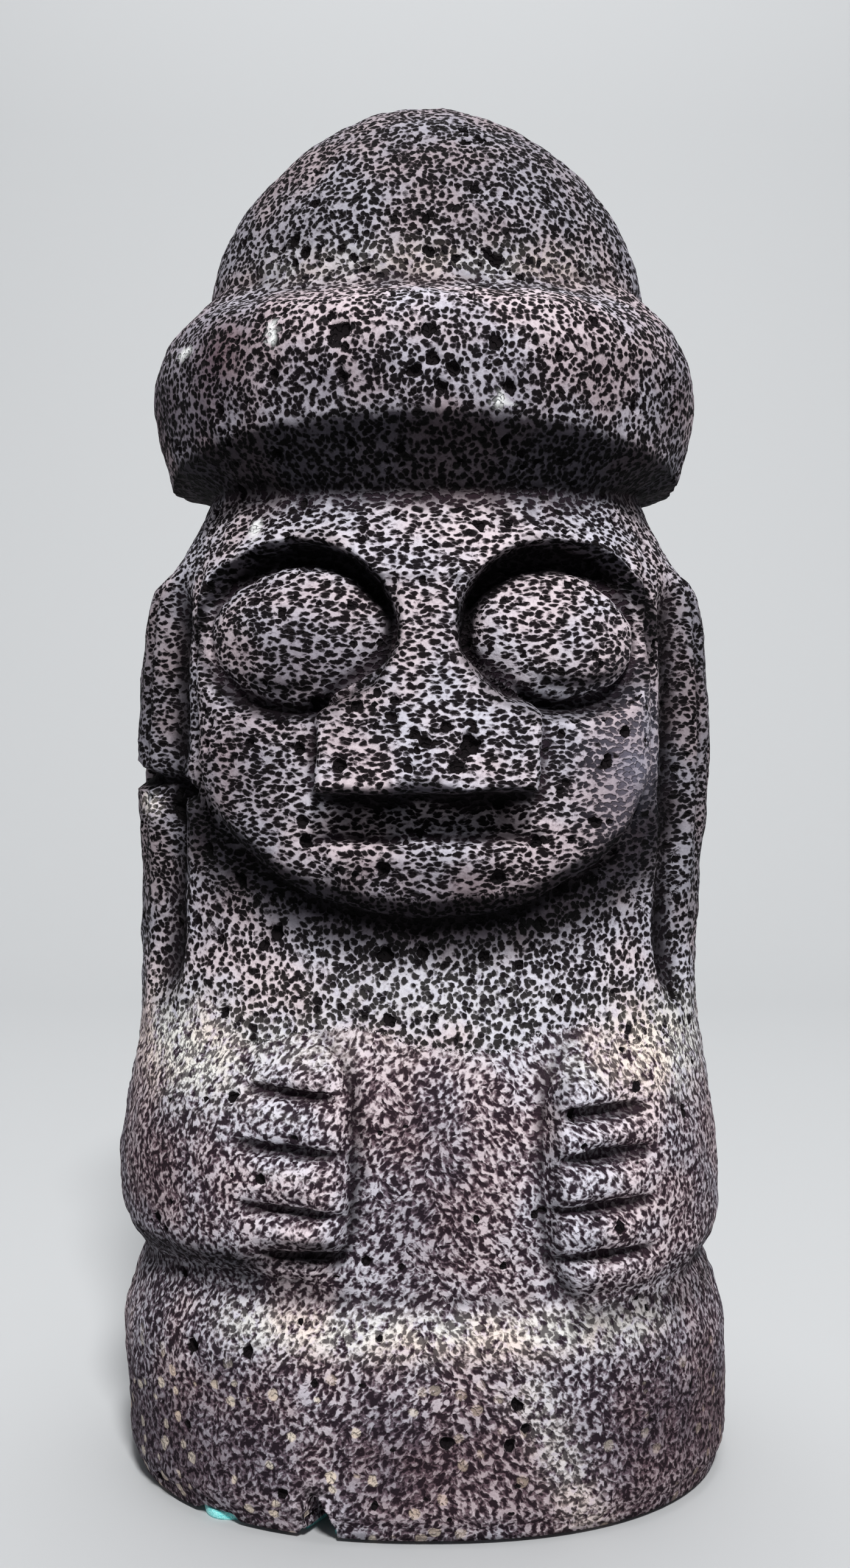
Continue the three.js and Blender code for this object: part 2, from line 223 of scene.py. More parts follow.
def insideFace(x, z):
    drop = np.maximum(face["middle"] - z, 0) / face["chinDrop"]
    across = (x - face["chinX"] * drop) / face["wide"]
    return (1 - np.hypot(across, drop)) * face["chinDrop"]


def eyeRelief(x, z):
    relief = np.zeros_like(x)
    for ex, ez, stretch in face["eyes"]:
        lift = face["socketLift"]
        around = np.hypot((x - ex) / face["socketWide"], (z - ez - lift) / face["socketHigh"])
        ball = np.hypot((x - ex) / face["eyeWide"], (z - ez) / face["eyeHigh"]) / stretch
        deeper = 1 + 0.25 * np.clip((z - ez) / face["socketHigh"], -1, 1)
        relief = relief - face["socketDepth"] * deeper * smooth(1 - around, 0, 0.16)
        relief = relief + face["eyeBulge"] * np.sqrt(np.maximum(1 - ball ** 2, 0))
    return relief


def noseRelief(x, z):
    flare = smooth(face["flareTop"] - z, 0, face["flareTop"] - face["wingTop"])
    half = mix(face["bridge"], face["wing"], flare)
    low, high = face["noseRise"]
    rise = mix(low, high, np.clip((face["bridgeTop"] - z) / (face["bridgeTop"] - face["noseBottom"]), 0, 1))
    lower = smooth(z, face["noseBottom"] - 0.5, face["noseBottom"] + 0.5)
    ends = lower * smooth(face["bridgeTop"] + 2 - z, 0, 4)
    return rise * ends * rolled(half + 0.2 - np.abs(x - face["mouthX"]), face["noseRoll"])


def mouthAcross(x, z):
    # narrow under the nose, wider at the mouth line
    widening = np.clip((face["noseBottom"] - z) / (face["noseBottom"] - face["mouthLine"]), 0, 1)
    half = mix(face["wing"] - 0.3, face["wing"] + 0.6, widening)
    return smooth(half - np.abs(x - face["mouthX"]), 0, face["mouthEnds"])


def mouthRelief(x, z):
    across = mouthAcross(x, z)
    line = face["mouthLine"]
    slope = mix(0.3, 1.0, np.clip((z - line) / (face["mouthTop"] - line), 0, 1))
    recess = slope * smooth(z, line - 0.6, line + 0.4) * smooth(face["mouthTop"] + 1 - z, 0, 1.5)
    ends = smooth(face["mouthHalf"] + 1 - np.abs(x - face["mouthX"]), 0, 4)
    slit = face["slitDepth"] * bump(z - line - 0.2, 0.9) * ends
    return across * (face["lip"] * bump(z - face["lipLine"], 4) - face["mouthDepth"] * recess) - slit


def browRelief(x, z):
    up = smooth(z, face["browLine"] - 0.8, face["browLine"] + 0.8) * (1 - smooth(z, *face["browFade"]))
    return face["browRaise"] * up * smooth(face["browHalf"] - np.abs(x), 0, 10)


def faceRelief(x, z):
    edge = rolled(insideFace(x, z), face["roll"])
    plate = face["raise"] * (1 - smooth(z, 122, face["forehead"]))
    cheeks = 0.9 * bump(np.abs(x) - 23, 12) * bump(z - 102, 12)
    features = eyeRelief(x, z) + noseRelief(x, z) + mouthRelief(x, z) + browRelief(x, z)
    return edge * (plate + features + cheeks)


def earRelief(turn, z):
    away = np.degrees(np.abs(turn))
    run = smooth(z, ears["foot"], ears["foot"] + 8) * smooth(ears["top"] - z, 0, 8)
    groove = -ears["grooveDepth"] * bump(away - ears["groove"], ears["grooveWidth"]) * run
    upper = smooth(z, ears["lobe"] - 14, ears["lobe"] + 1) * smooth(ears["top"] - z, 0, 2.5)
    plate = ears["plate"] * smooth(away, 62, 66) * (1 - smooth(away, 84, 98))
    return groove + upper * (plate - ears["lineDepth"] * bump(away - ears["line"], 3.5))


# Broken places: the notch in the bottom edge in front, and the split in one ear
chips = {
    "notchX": (-14.7, -15.2), "notchHalf": (2.1, 0.5), "notchTop": 4.4, "notchDepth": 7.0,
    "splitX": (-46.0, -34.5), "splitZ": (100.4, 97.8), "splitHalf": 1.4, "splitDepth": 2.8,
    # middle, height and half width of the fresh facet under the split
    "facet": (-39.6, 96.2, 1.2),
}


def earSplit(x, z):
    (x0, x1), (z0, z1) = chips["splitX"], chips["splitZ"]
    line = z0 + (z1 - z0) * np.clip((x - x0) / (x1 - x0), 0, 1)
    across = np.clip(1.6 - 1.6 * np.abs(z - line) / chips["splitHalf"], 0, 1)
    return across * smooth(x, x0 - 2, x0) * smooth(x1 - x, -1, 2)


def chipRelief(x, z):
    up = np.clip(z / chips["notchTop"], 0, 1)
    side = 1 - np.abs(x - mix(*chips["notchX"], up)) / mix(*chips["notchHalf"], up)
    notch = np.clip(side * 5, 0, 1) * (z < chips["notchTop"])
    return -chips["notchDepth"] * notch - chips["splitDepth"] * earSplit(x, z)


def carvedReach(turn, z):
    ground = groundReach(turn, z)
    brimReach = sectionReach(turn, hat["brimWide"], hat["brimFront"], hat["brimBack"], hat["brimSquare"])
    blank = ground + (brimReach - ground) * brimShare(turn, z)
    x = (ground + 3) * np.sin(turn)
    relief = hemRaise(turn, z) + earRelief(turn, z)
    front = np.cos(turn) > 0
    spot = np.stack(np.broadcast_arrays(x, 0 * x, z), -1)
    carvedX = x + 0.40 * valueNoise(spot, 4.5, 31)
    carvedZ = z + 0.30 * valueNoise(spot, 5.0, 32)
    for hand in arms["hands"]:
        mine = np.sign(x + 1e-9) == hand["side"]
        relief = relief + np.where(mine, armRaise(turn, x, z, hand), 0)
        relief = relief + np.where(mine & front, fingerLines(x, z, hand), 0)
    relief = relief + np.where(front, faceRelief(carvedX, carvedZ) + chipRelief(x, z), 0)
    inner, edge = brimLines(turn)
    return np.where(z > inner, blank * crownShare(z), blank + relief)


# The felt under the stone
pad = {
    "inset": 3.6, "shift": -1.2, "thick": 1.2, "edge": 0.35, "points": 240, "uneven": 0.12,
    # places where its edge shows: x, half width and how far it comes out
    "bulges": ((-28.3, 5.0, 3.2), (-13.2, 3.4, 1.3)),
    "colour": (0.10, 0.66, 0.66, 1), "fibre": (0.40, 0.95, 0.92, 1),
}


# The stone's surface as a fine grid
grid = {
    "columns": 520, "frontCrowding": 0.45, "crownRows": 90, "seed": 7, "triangles": 190000,
    # middle of the front, sides, how far it stays level, rows from the line below
    "guides": (
        (0.0, 0.0, None, 0), (2.4, 2.4, None, 8), (24.0, 24.0, None, 46), (31.0, 31.0, None, 24),
        (69.0, 69.0, None, 104), (80.2, 103.2, 0, 34), (84.6, 106.2, 0, 14), (91.4, 108.2, 17, 18),
        (92.8, 109.0, 17, 8), (97.8, 110.6, 15, 12), (98.8, 111.4, 15, 12), (109.0, 116.0, 15, 26),
        (126.2, 126.2, None, 44), (127.8, 127.8, None, 6), (133.0, 133.0, None, 12),
        ("inner", "inner", None, 13), ("edge", "edge", None, 22), (168.8, 168.8, None, 54),
        (170.0, 170.0, None, 6),
    ),
}


# Rough skin: height, size and seed of each roughness, how far it lies under the carved surface,
# and how far a spot stands out from its surroundings to be wholly worn lighter, or sinks below them to take
# the full painted shade
skin = {
    "roughness": ((0.30, 9.0, 1), (0.20, 3.4, 2), (0.16, 1.3, 3)), "under": 0.25,
    "surroundings": 7, "worn": 0.8,
}


def rowHeights(turn):
    x = (groundReach(turn, np.full_like(turn, face["middle"])) + 3) * np.sin(turn)
    inner, edge = brimLines(turn)
    heights = [np.zeros_like(turn)]
    for middle, side, flat, rows in grid["guides"]:
        if middle == "inner":
            to = inner
        elif middle == "edge":
            to = edge
        elif flat is None:
            to = np.full_like(turn, middle)
        else:
            out = np.clip((np.abs(x) - flat) / (face["wide"] + 0.6 - flat), 0, 1)
            to = side - (side - middle) * np.sqrt(1 - out ** 2)
        start = heights[-1]
        for k in range(1, rows + 1):
            heights.append(mix(start, to, k / rows))
    start = heights[-1]
    for k in range(1, grid["crownRows"]):
        heights.append(mix(start, block["height"], math.sin(k / grid["crownRows"] * math.pi / 2)))
    return np.array(heights)


def stonePoints(turn, z):
    reach = carvedReach(turn, z)
    sway = np.interp(z, block["swayHeights"], block["sway"])
    return np.stack([reach * np.sin(turn) + sway, -reach * np.cos(turn), z + block["stoneBottom"]], -1)


def gridNormals(points):
    across = np.roll(points, -1, 1) - np.roll(points, 1, 1)
    upward = np.gradient(points, axis=0)
    normals = np.cross(across, upward)
    length = np.linalg.norm(normals, axis=-1, keepdims=True)
    return normals / np.maximum(length, 1e-9)


# Holes wide enough to be shape: random ones everywhere, and the large ones of the front
pits = {
    "count": 1200, "groundShare": 0.35, "smallest": 0.42, "largest": 1.05, "depth": 1.2,
    "ragged": ((0.42, 1.3, 9), (0.25, 0.6, 10)), "reach": 1.4, "rounds": 14,
    # x, height and radius of each large hole; the reach is found on the surface
    "large": (
        (-11.2, 159.0, 1.5), (0.4, 158.8, 1.05), (3.7, 153.4, 1.1), (2.1, 151.0, 0.9),
        (1.0, 154.6, 0.9), (11.3, 151.2, 1.0), (-11.0, 152.8, 1.0), (-1.2, 153.0, 0.9),
        (-20.0, 153.4, 1.0), (-15.4, 180.4, 1.0), (-18.5, 175.1, 1.0), (-16.7, 173.3, 0.9),
        (0.7, 172.2, 1.0), (8.9, 172.0, 0.8), (2.7, 107.2, 1.0), (5.9, 105.0, 1.4),
        (4.2, 102.1, 1.1), (-2.2, 101.9, 0.9), (-0.1, 105.5, 0.9), (-4.0, 110.8, 0.9),
        (-4.4, 108.8, 0.8), (-5.5, 88.2, 1.3), (9.9, 86.9, 1.1), (-5.2, 76.5, 1.2),
        (-20.5, 79.1, 1.3), (-32.1, 22.8, 1.3), (12.4, 17.2, 1.0), (11.2, 11.9, 0.9),
        (-35.4, 96.4, 2.0), (-34.6, 94.8, 2.1), (-34.2, 93.0, 1.5),
    ),
}


def surfacePoint(x, z):
    turn = np.array(0.0)
    for k in range(pits["rounds"]):
        sway = np.interp(z, block["swayHeights"], block["sway"])
        turn = np.arcsin(np.clip((x - sway) / carvedReach(turn, np.array(z)), -0.99, 0.99))
    return stonePoints(turn, np.array(z))


def choosePits(points, z, rng):
    rowGap = np.linalg.norm(np.gradient(points, axis=0), axis=-1)
    columnGap = np.linalg.norm(np.roll(points, -1, 1) - points, axis=-1)
    area = (rowGap * columnGap * np.where(z < 70, pits["groundShare"], 1)).ravel()
    chosen = rng.choice(area.size, pits["count"], replace=False, p=area / area.sum())
    radius = mix(pits["smallest"], pits["largest"], rng.random(pits["count"]) ** 4)
    centres = list(zip(points.reshape(-1, 3)[chosen], radius))
    for x, z, wide in pits["large"]:
        centres.append((surfacePoint(x, z), wide))
    return centres


def carveStone():
    share = np.linspace(-1, 1, grid["columns"] + 1)[:-1]
    turn = math.pi * share - grid["frontCrowding"] * np.sin(math.pi * share)
    z = rowHeights(turn)
    turns = np.broadcast_to(turn, z.shape)
    points = stonePoints(turns, z)
    normals = gridNormals(points)
    print("stone grid", points.shape, "rows and columns")
    inward = smooth(z, 0, 1.0) * smooth(block["height"] - z, 0, 1.0)
    rough = sum(amount * valueNoise(points, size, seed) for amount, size, seed in skin["roughness"])
    rough = (rough - skin["under"]) * inward
    rng = np.random.default_rng(grid["seed"])
    flat = points.reshape(-1, 3)
    tree = KDTree(len(flat))
    for k, place in enumerate(flat):
        tree.insert(place, k)
    tree.balance()
    ragged = 1
    for amount, size, seed in pits["ragged"]:
        ragged = ragged + amount * valueNoise(flat, size, seed)
    sunk = np.zeros(len(flat))
    dark = np.zeros(len(flat))
    for centre, radius in choosePits(points, z, rng):
        squash = rng.uniform(0.75, 1.0)
        for place, k, far in tree.find_range(Vector(centre), radius * pits["reach"]):
            near = max(1 - (far * ragged[k] / radius) ** 2, 0)
            sunk[k] = max(sunk[k], pits["depth"] * radius * squash * near ** 0.5)
            dark[k] = max(dark[k], min(near * 2.2, 1))
    sunk = sunk.reshape(z.shape) * inward
    points = points + normals * (rough - sunk)[..., None]
    points[..., 2] = np.maximum(points[..., 2], block["stoneBottom"])
    # the bottom edge hangs a little below the top of the felt, but not where it is broken
    broken = np.clip(-chipRelief(points[0, :, 0], np.zeros(len(turn))), 0, 1)
    lifted = smooth(3.4 - np.abs(points[0, :, 0] - pad["bulges"][0][0]), 0, 1.5)
    broken = np.maximum(broken, lifted) * (points[0, :, 1] < 0)
    points[:3, :, 2] -= block["lip"] * np.array([1.0, 0.5, 0.2])[:, None] * (1 - broken)
    return points, dark.reshape(z.shape), z, turns


def meshFromGrid(name, points, attributes):
    rows, columns = points.shape[:2]
    flat = points.reshape(-1, 3)
    bottom = np.array([[flat[:columns, 0].mean(), 0, block["stoneBottom"]]])
    top = flat[-columns:].mean(0)[None] + np.array([[0, 0, 0.1]])
    inset = 1 - block["lipInset"] / np.linalg.norm(points[0, :, :2], axis=1, keepdims=True)
    ledge = np.concatenate([points[0, :, :2] * inset, np.full((columns, 1), block["stoneBottom"])], 1)
    verts = np.concatenate([flat, bottom, top, ledge]) * mm
    i, j = np.meshgrid(np.arange(rows - 1), np.arange(columns), indexing="ij")
    j2 = (j + 1) % columns
    row, nextRow = i * columns, (i + 1) * columns
    quads = np.stack([row + j, row + j2, nextRow + j2, nextRow + j], -1).reshape(-1, 4)
    ring = np.arange(columns)
    after = (ring + 1) % columns
    ledgeRing = len(flat) + 2 + ring
    ledgeAfter = len(flat) + 2 + after
    under = np.stack([after, ring, ledgeRing, ledgeAfter], -1)
    low = np.stack([ledgeAfter, ledgeRing, np.full(columns, len(flat))], -1)
    lid = (rows - 1) * columns
    high = np.stack([lid + ring, lid + after, np.full(columns, len(flat) + 1)], -1)
    mesh = bpy.data.meshes.new(name)
    mesh.from_pydata(verts.tolist(), [], quads.tolist() + under.tolist() + low.tolist() + high.tolist())
    for key, values in attributes.items():
        layer = mesh.attributes.new(key, "FLOAT", "POINT")
        values = np.concatenate([values.ravel(), [0.0, 0.0], values[0]])
        layer.data.foreach_set("value", values.astype(np.float32))
    mesh.shade_smooth()
    piece = bpy.data.objects.new(name, mesh)
    bpy.context.scene.collection.objects.link(piece)
    return piece


def thinOut(piece, most):
    triangles = sum(len(face.vertices) - 2 for face in piece.data.polygons)
    modifier = piece.modifiers.new("thin", "DECIMATE")
    modifier.ratio = most / triangles
    bpy.context.view_layer.update()
    lean = bpy.data.meshes.new_from_object(piece.evaluated_get(bpy.context.evaluated_depsgraph_get()))
    piece.modifiers.clear()
    piece.data = lean
    lean.name = piece.name
    print(piece.name, triangles, "triangles thinned to", sum(len(f.vertices) - 2 for f in lean.polygons))


# Materials
class Nodes:
    # A short way to set and join shader nodes
    def __init__(self, name):
        self.material = bpy.data.materials.new(name)
        self.material.use_nodes = True
        self.tree = self.material.node_tree
        self.tree.nodes.clear()
        self.shader = self.add("ShaderNodeBsdfPrincipled")
        output = self.add("ShaderNodeOutputMaterial")
        self.tree.links.new(self.shader.outputs[0], output.inputs["Surface"])

    def add(self, kind, inputs=None, **settings):
        node = self.tree.nodes.new(kind)
        for key, value in settings.items():
            setattr(node, key, value)
        for key, value in (inputs or {}).items():
            self.put(node.inputs[key], value)
        return node

    def put(self, socket, value):
        if isinstance(value, bpy.types.NodeSocket):
            self.tree.links.new(value, socket)
        else:
            socket.default_value = value

    def math(self, operation, a, b):
        node = self.add("ShaderNodeMath", operation=operation)
        self.put(node.inputs[0], a)
        self.put(node.inputs[1], b)
        return node.outputs[0]

    def plus(self, a, b):
        return self.math("ADD", a, b)

    def minus(self, a, b):
        return self.math("SUBTRACT", a, b)

    def times(self, a, b):
        return self.math("MULTIPLY", a, b)

    def over(self, a, b):
        return self.math("GREATER_THAN", a, b)

    def ramp(self, value, low, high, toLow=0.0, toHigh=1.0):
        node = self.add("ShaderNodeMapRange", {"Value": value, "From Min": low, "From Max": high,
                                               "To Min": toLow, "To Max": toHigh})
        node.interpolation_type = "SMOOTHSTEP"
        return node.outputs[0]

    def blend(self, share, a, b, kind="MIX"):
        node = self.add("ShaderNodeMix", data_type="RGBA", blend_type=kind)
        self.put(node.inputs[0], share)
        self.put(node.inputs[6], a)
        self.put(node.inputs[7], b)
        return node.outputs[2]

    def attribute(self, name):
        return self.add("ShaderNodeAttribute", attribute_name=name).outputs["Fac"]


basaltLook = {
    "poreScale": 2.0, "cellSize": 0.78, "wideSize": 1.8, "poreEdge": 0.670, "slant": 38,
    "fleckColour": (0.86, 0.87, 0.86, 1),
    "coolTint": (0.94, 0.97, 1.05, 1), "warmTint": (1.04, 0.94, 0.96, 1),
    "wallDark": (0.205, 0.168, 0.188, 1), "wallLight": (0.605, 0.578, 0.600, 1),
    "grainDark": (0.150, 0.108, 0.126, 1), "grainLight": (0.60, 0.560, 0.575, 1),
    # the gap colour darkens the gaps between grains and is also the painted shade in hollows
    "poreColour": (0.008, 0.006, 0.007, 1), "gapAndShadeColour": (0.022, 0.014, 0.019, 1),
    # the darker tint is partly the stone's darker tone and partly painted shade
    "darkToneAndShadeTint": (0.17, 0.115, 0.135, 1), "creamColour": (0.84, 0.74, 0.58, 1),
    "dustColour": (0.80, 0.76, 0.66, 1), "rubbedColour": (0.24, 0.24, 0.30, 1),
    # painted shade colour, multiplied in where the shade map lies
    "paintedShadeColour": (0.075, 0.070, 0.078, 1),
    "poreDepth": 0.38, "wornColour": (0.70, 0.66, 0.685, 1),
}


def basaltMaterial():
    n = Nodes("basalt")
    place = n.add("ShaderNodeTexCoord").outputs["Object"]
    inMm = n.add("ShaderNodeVectorMath", operation="SCALE")
    n.put(inMm.inputs[0], place)
    inMm.inputs["Scale"].default_value = 1000
    mmPlace = inMm.outputs[0]

    def noise(scale, detail=2.0, roughness=0.5, at=None):
        return n.add("ShaderNodeTexNoise", {"Vector": at or mmPlace, "Scale": scale,
                                            "Detail": detail, "Roughness": roughness})

    def warped(amount, scale, onto):
        shift = n.add("ShaderNodeVectorMath", operation="MULTIPLY_ADD")
        n.put(shift.inputs[0], noise(scale).outputs["Color"])
        shift.inputs[1].default_value = (amount, amount, amount)
        n.put(shift.inputs[2], onto)
        return shift.outputs[0]

    def away(share):
        return n.minus(1.0, share)

    def between(share, a, b):
        return n.plus(n.times(a, away(share)), n.times(b, share))

    def centred(value, amount):
        return n.times(n.minus(value, 0.5), amount)

    ground, flatness = n.attribute("ground"), n.attribute("flat")
    crowd = noise(0.16, 3.0).outputs["Fac"]
    grit = noise(2.6, 3.0, 0.7).outputs["Fac"]
    patch = noise(0.10, 3.0, 0.6).outputs["Fac"]

    # Open and porous above, ground smooth below; the face's pores lie flat, the grains slant
    isGround = n.over(n.plus(ground, centred(grit, 0.5)), 0.5)
    isFlat = n.over(n.plus(flatness, centred(grit, 0.5)), 0.5)
    across = n.add("ShaderNodeSeparateXYZ", {"Vector": mmPlace}).outputs["X"]
    onRight = n.over(n.plus(across, centred(noise(0.12, 2.0).outputs["Fac"], 60.0)), 2.0)
    lean = n.times(centred(onRight, 2 * math.radians(basaltLook["slant"])), isGround)
    rotation = n.add("ShaderNodeCombineXYZ", {"Y": lean})
    wideShare = n.plus(1.05, n.plus(n.times(isFlat, -0.31), n.times(isGround, -0.27)))
    highShare = n.plus(1.0, n.plus(n.times(isFlat, 0.38), n.times(isGround, -0.46)))
    scales = n.add("ShaderNodeCombineXYZ", {"X": wideShare, "Y": 0.75, "Z": highShare})
    spot = warped(0.45, 1.3, warped(1.2, 0.35, mmPlace))
    leaning = n.add("ShaderNodeMapping", {"Vector": spot, "Rotation": rotation.outputs[0]}).outputs[0]
    spot = n.add("ShaderNodeMapping", {"Vector": leaning, "Scale": scales.outputs[0]}).outputs[0]
    cell = n.add("ShaderNodeTexVoronoi", {"Vector": spot, "Scale": 1 / basaltLook["cellSize"]}, feature="F1")
    wave = noise(basaltLook["poreScale"], 1.0, 0.5, spot).outputs["Fac"]
    wide = n.add("ShaderNodeTexVoronoi", {"Vector": spot, "Scale": 1 / basaltLook["wideSize"]}, feature="F1")
    widePick = n.add("ShaderNodeSeparateColor", {"Color": wide.outputs["Color"]}).outputs["Red"]
    wideHole = n.times(n.ramp(wide.outputs["Distance"], 0.40, 0.26), n.over(widePick, 0.80))
    # Worm-like walls round the pores above, low in the holes and high on the walls
    walls = n.plus(n.times(cell.outputs["Distance"], 1.15), n.times(wave, 0.45))
    walls = n.plus(walls, n.plus(centred(crowd, -0.20), centred(grit, 0.14)))
    ridges = n.ramp(walls, basaltLook["poreEdge"] + 0.10, basaltLook["poreEdge"] + 0.44)
    walls = n.ramp(walls, basaltLook["poreEdge"], basaltLook["poreEdge"] + 0.26)
    # Small slanting grains with dark gaps below
    grains = n.plus(wave, n.plus(centred(grit, 0.10), centred(patch, 0.12)))
    grains = n.plus(grains, n.times(n.minus(cell.outputs["Distance"], 0.55), -0.12))
    grains = n.ramp(grains, 0.36, 0.64)
    tone = n.ramp(n.plus(grit, n.times(patch, 0.6)), 0.45, 1.05)
    tone = n.plus(n.times(tone, 0.55), n.times(ridges, 0.50))
    wall = n.blend(tone, basaltLook["wallDark"], basaltLook["wallLight"])
    wall = n.blend(walls, basaltLook["poreColour"], wall)
    grain = n.blend(n.ramp(grains, 0.0, 0.42), basaltLook["gapAndShadeColour"], basaltLook["grainDark"])
    # grains are paler except where the stone is painted darker, partly painted shade
    pale = n.minus(n.plus(grains, centred(grit, 0.6)), n.times(n.attribute("darkToneAndPaintedShade"), 0.55))
    grain = n.blend(n.ramp(pale, 0.22, 1.0), grain, basaltLook["grainLight"])
    cream = n.add("ShaderNodeTexVoronoi", {"Vector": warped(0.6, 1.0, mmPlace), "Scale": 0.36}, feature="F1")
    creamPick = n.add("ShaderNodeSeparateColor", {"Color": cream.outputs["Color"]}).outputs["Red"]
    creamGrain = n.times(n.ramp(cream.outputs["Distance"], 0.33, 0.24), n.over(creamPick, 0.52))
    grain = n.blend(n.times(creamGrain, n.attribute("cream")), grain, basaltLook["creamColour"])
    body = n.blend(isGround, wall, grain)
    specks = n.ramp(noise(0.7, 4.0, 0.65).outputs["Fac"], 0.40, 0.52)
    solid = between(isGround, walls, grains)
    dusted = n.times(n.attribute("dust"), n.times(specks, n.ramp(solid, 0.0, 0.5, 0.15, 1.0)))
    body = n.blend(dusted, body, basaltLook["dustColour"])
    body = n.blend(n.times(n.attribute("rubbed"), 0.6), body, basaltLook["rubbedColour"])
    # lighter where the surface stands out, worn; painted shade where it sinks into hollows
    worn = n.attribute("wearAndHollowShade")
    body = n.blend(n.times(n.ramp(worn, 0.0, 1.0, 0.0, 0.5), solid), body, basaltLook["wornColour"])
    body = n.blend(n.ramp(worn, 0.0, -1.0, 0.0, 0.85), body, basaltLook["gapAndShadeColour"])
    # darker tone and painted shade, weaker on the lower ground texture
    darkToneAndShadeShare = n.times(n.attribute("darkToneAndPaintedShade"), n.minus(1.0, n.times(isGround, 0.45)))
    body = n.blend(darkToneAndShadeShare, body, basaltLook["darkToneAndShadeTint"], "MULTIPLY")
    ragged = n.plus(n.attribute("pit"), centred(grit, 0.9))
    hole = n.math("MAXIMUM", n.times(wideHole, away(isGround)), n.ramp(ragged, 0.42, 0.58))
    drift = n.ramp(noise(0.07, 2.0, 0.6).outputs["Fac"], 0.38, 0.62)
    body = n.blend(1.0, body, n.blend(drift, basaltLook["coolTint"], basaltLook["warmTint"]), "MULTIPLY")
    colour = n.blend(hole, body, basaltLook["poreColour"])
    colour = n.blend(n.attribute("fleck"), colour, basaltLook["fleckColour"])
    # painted shade: darker under overhangs, in hollows and in the ear's split
    colour = n.blend(n.attribute("paintedShade"), colour, basaltLook["paintedShadeColour"], "MULTIPLY")
    n.put(n.shader.inputs["Base Color"], colour)
    height = n.minus(n.plus(n.times(grit, 0.25), solid), hole)
    relief = n.add("ShaderNodeBump", {"Height": height, "Strength": 1.0,
                                      "Distance": basaltLook["poreDepth"] * mm})
    n.put(n.shader.inputs["Normal"], relief.outputs[0])
    n.shader.inputs["Roughness"].default_value = 0.88
    n.shader.inputs["Specular IOR Level"].default_value = 0.08
    return n.material


def softened(values, reach):
    # box blur over the grid, which wraps sideways
    out = values
    for axis in (0, 1):
        total = np.zeros_like(out)
        for step in range(-reach, reach + 1):
            if axis == 1:
                total += np.roll(out, step, 1)
            else:
                total += out[np.clip(np.arange(len(out)) + step, 0, len(out) - 1)]
        out = total / (2 * reach + 1)
    return out


# Painted shade: the stone's colour is darkened where it faces down, on the brim's underside, in the eye
# sockets, under the nose, beside and below the hands, round the jaw, on the sides of the head, over the
# crown and in the ear grooves
def paintedShadePlaces(points, outward, z):
    x = points[..., 0] + 0.7 * valueNoise(points, 2.6, 41)
    y = points[..., 1]
    z = z + 0.45 * valueNoise(points, 2.2, 42) * (z < 137)
    front = y < 0
    paintedShade = smooth(-outward[..., 2], 0.25, 0.6) * (z > 5)
    inner, edge = brimLines(np.arctan2(x, -y))
    paintedShade = np.maximum(paintedShade, smooth(z, inner - 0.15, inner + 0.15) * smooth(edge + 0.5 - z, 0, 0.9))
    for ex, ez, stretch in face["eyes"]:
        around = np.hypot((x - ex) / face["socketWide"], (z - ez - face["socketLift"]) / face["socketHigh"])
        ball = np.hypot((x - ex) / face["eyeWide"], (z - ez) / face["eyeHigh"]) / stretch
        hollow = smooth(ball, 0.92, 1.0) * smooth(1.0 - around, -0.02, 0.05)
        paintedShade = np.maximum(paintedShade, hollow * mix(0.62, 1.0, smooth(z - ez, -6, 2)) * front)
    band = smooth(z, face["mouthLine"] - 0.2, face["mouthLine"] + 0.6)
    band = band * smooth(face["noseBottom"] + 0.6 - z, 0, 0.8)
    paintedShade = np.maximum(paintedShade, 0.80 * band * mouthAcross(x, z) * front)
    for hand in arms["hands"]:
        middle = (hand["top"] + hand["bottom"]) / 2
        bow = arms["corner"] * np.minimum(np.abs(z - middle) / (hand["top"] - middle), 1) ** 4
        beside = bump(hand["side"] * x - hand["tips"] - bow + 0.5, 2.0)
        tall = smooth(z, hand["bottom"] - 2, hand["bottom"] + 3) * smooth(hand["top"] - 1 - z, 0, 8)
        below = bump(z - hand["bottom"] + 1.2, 3.2)
        below = below * smooth(hand["side"] * x, hand["tips"] - 1, hand["tips"] + 3)
        paintedShade = np.maximum(paintedShade, front * np.maximum(0.62 * beside * tall, 0.55 * below))
    outside = -insideFace(x, z)
    jaw = smooth(outside, -2.5, 0.0) * smooth(8.5 - outside, 0, 6)
    paintedShade = np.maximum(paintedShade, jaw * smooth(104 - z, 0, 10) * (y < -12))
    sides = smooth(np.abs(x), 32, 35) * smooth(z, 72, 80) * smooth(131 - z, 0, 6)
    paintedShade = np.maximum(paintedShade, 0.50 * sides * (1 - smooth(y, -5, 24)))
    paintedShade = np.maximum(paintedShade, 0.34 * smooth(z, 166, 176))
    away = np.degrees(np.abs(np.arctan2(x, -y)))
    groove = bump(away - ears["groove"], 7) * smooth(z, 64, 76) * smooth(128 - z, 0, 6)
    paintedShade = np.maximum(paintedShade, 0.9 * groove)
    return np.clip(paintedShade, 0, 1)


